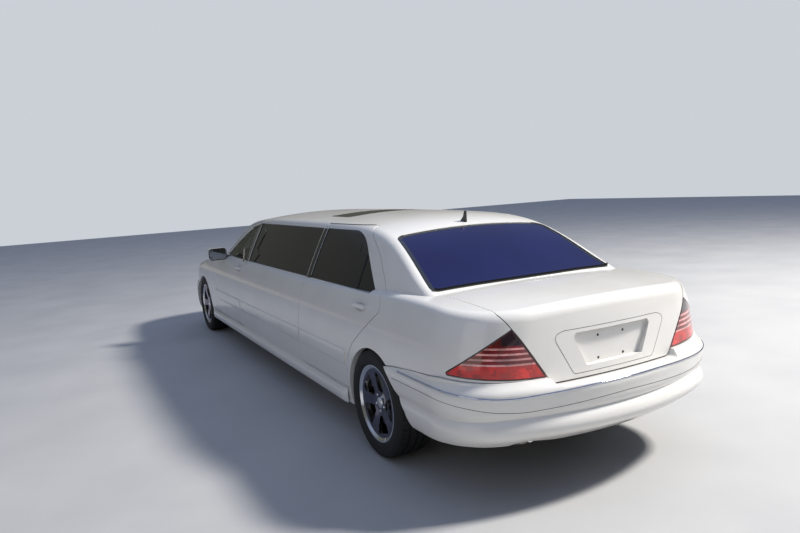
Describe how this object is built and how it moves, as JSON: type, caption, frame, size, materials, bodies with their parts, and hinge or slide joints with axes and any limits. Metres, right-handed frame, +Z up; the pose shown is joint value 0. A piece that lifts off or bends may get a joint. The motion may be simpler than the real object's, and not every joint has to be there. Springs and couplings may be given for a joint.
{
  "type": "stretch limousine",
  "caption": "Long-wheelbase four-door limousine with a stretched centre section, opening doors, hood and boot lid, steered front wheels and rolling wheels.",
  "frame": {"origin": "on the ground, half way along the car and on its centre plane", "axes": "+X forward, +Y to the left side of the car, +Z up"},
  "size_m": [6.9424, 2.06, 1.4663],
  "materials": {
    "white_paint": "gloss",
    "dark_trim": "matte",
    "floor_metal": "matte",
    "dark_glass": "gloss",
    "clear_glass": "gloss",
    "lamp_glass": "gloss",
    "red_lamp": "gloss",
    "chrome": "gloss",
    "cabin_plastic": "matte",
    "seat_leather": "satin",
    "cast_metal": "matte",
    "exhaust_steel": "satin",
    "chassis_steel": "satin",
    "wheel_chrome": "gloss",
    "tyre_rubber": "matte"
  },
  "bodies": {
    "body": {"antenna": "dark_trim", "boot_floor": "floor_metal", "cabin_floor": "floor_metal", "centre_panels": "white_paint", "centre_windows": "dark_glass", "cowl": "dark_trim", "dashboard": "cabin_plastic", "engine": "cast_metal", "exhaust": "exhaust_steel", "fenders": "white_paint", "firewall": "dark_trim", "front_bumper": "white_paint", "front_seats": "seat_leather", "front_subframe": "chassis_steel", "grille": "chrome", "headlamps": "lamp_glass", "rear_axle": "chassis_steel", "rear_body": "white_paint", "rear_bulkhead": "floor_metal", "rear_bumper": "white_paint", "rear_seats": "seat_leather", "rear_window": "dark_glass", "roof": "white_paint", "side_sills": "white_paint", "sunroof": "dark_glass", "tail_lamps": "red_lamp", "windscreen": "clear_glass", "wipers": "dark_trim"},
    "front_door_left": {"door_front_left": "white_paint", "window_front_left": "clear_glass", "mirror_left": "white_paint"},
    "front_door_right": {"door_front_right": "white_paint", "window_front_right": "clear_glass", "mirror_right": "white_paint"},
    "rear_door_left": {"door_rear_left": "white_paint", "window_rear_left": "dark_glass"},
    "rear_door_right": {"door_rear_right": "white_paint", "window_rear_right": "dark_glass"},
    "hood_panel": {"hood": "white_paint"},
    "lid_panel": {"boot_lid": "white_paint"},
    "steer_left": {"knuckle_left": "chassis_steel"},
    "steer_right": {"knuckle_right": "chassis_steel"},
    "wheel_front_left": {"rim_front_left": "wheel_chrome", "tyre_front_left": "tyre_rubber"},
    "wheel_front_right": {"rim_front_right": "wheel_chrome", "tyre_front_right": "tyre_rubber"},
    "wheel_rear_left": {"rim_rear_left": "wheel_chrome", "tyre_rear_left": "tyre_rubber"},
    "wheel_rear_right": {"rim_rear_right": "wheel_chrome", "tyre_rear_right": "tyre_rubber"}
  },
  "joints": [
    {"name": "front_left_door", "type": "hinge", "parent": "body", "child": "front_door_left", "pos_m": [1.9195, 0.938, 0.7], "axis": [0, 0, -1], "range_deg": [0, 65]},
    {"name": "front_right_door", "type": "hinge", "parent": "body", "child": "front_door_right", "pos_m": [1.9195, -0.938, 0.7], "axis": [0, 0, 1], "range_deg": [0, 65]},
    {"name": "rear_left_door", "type": "hinge", "parent": "body", "child": "rear_door_left", "pos_m": [-0.9905, 0.938, 0.7], "axis": [0, 0, -1], "range_deg": [0, 65]},
    {"name": "rear_right_door", "type": "hinge", "parent": "body", "child": "rear_door_right", "pos_m": [-0.9905, -0.938, 0.7], "axis": [0, 0, 1], "range_deg": [0, 65]},
    {"name": "hood_hinge", "type": "hinge", "parent": "body", "child": "hood_panel", "pos_m": [2.0025, 0, 1.022], "axis": [0, -1, 0], "range_deg": [0, 50]},
    {"name": "boot_hinge", "type": "hinge", "parent": "body", "child": "lid_panel", "pos_m": [-2.7605, 0, 1.067], "axis": [0, 1, 0], "range_deg": [0, 75]},
    {"name": "steer_left_hinge", "type": "hinge", "parent": "body", "child": "steer_left", "pos_m": [2.6025, 0.735, 0.338], "axis": [0, 0, 1], "range_deg": [-33, 33]},
    {"name": "steer_right_hinge", "type": "hinge", "parent": "body", "child": "steer_right", "pos_m": [2.6025, -0.735, 0.338], "axis": [0, 0, 1], "range_deg": [-33, 33]},
    {"name": "spin_front_left", "type": "hinge", "parent": "steer_left", "child": "wheel_front_left", "pos_m": [2.6025, 0.787, 0.338], "axis": [0, 1, 0], "continuous": true},
    {"name": "spin_front_right", "type": "hinge", "parent": "steer_right", "child": "wheel_front_right", "pos_m": [2.6025, -0.787, 0.338], "axis": [0, 1, 0], "continuous": true},
    {"name": "spin_rear_left", "type": "hinge", "parent": "body", "child": "wheel_rear_left", "pos_m": [-2.2605, 0.787, 0.338], "axis": [0, 1, 0], "continuous": true},
    {"name": "spin_rear_right", "type": "hinge", "parent": "body", "child": "wheel_rear_right", "pos_m": [-2.2605, -0.787, 0.338], "axis": [0, 1, 0], "continuous": true}
  ],
  "couplings": [
    {"joint": "steer_right_hinge", "follows": "steer_left_hinge", "ratio": 1}
  ]
}
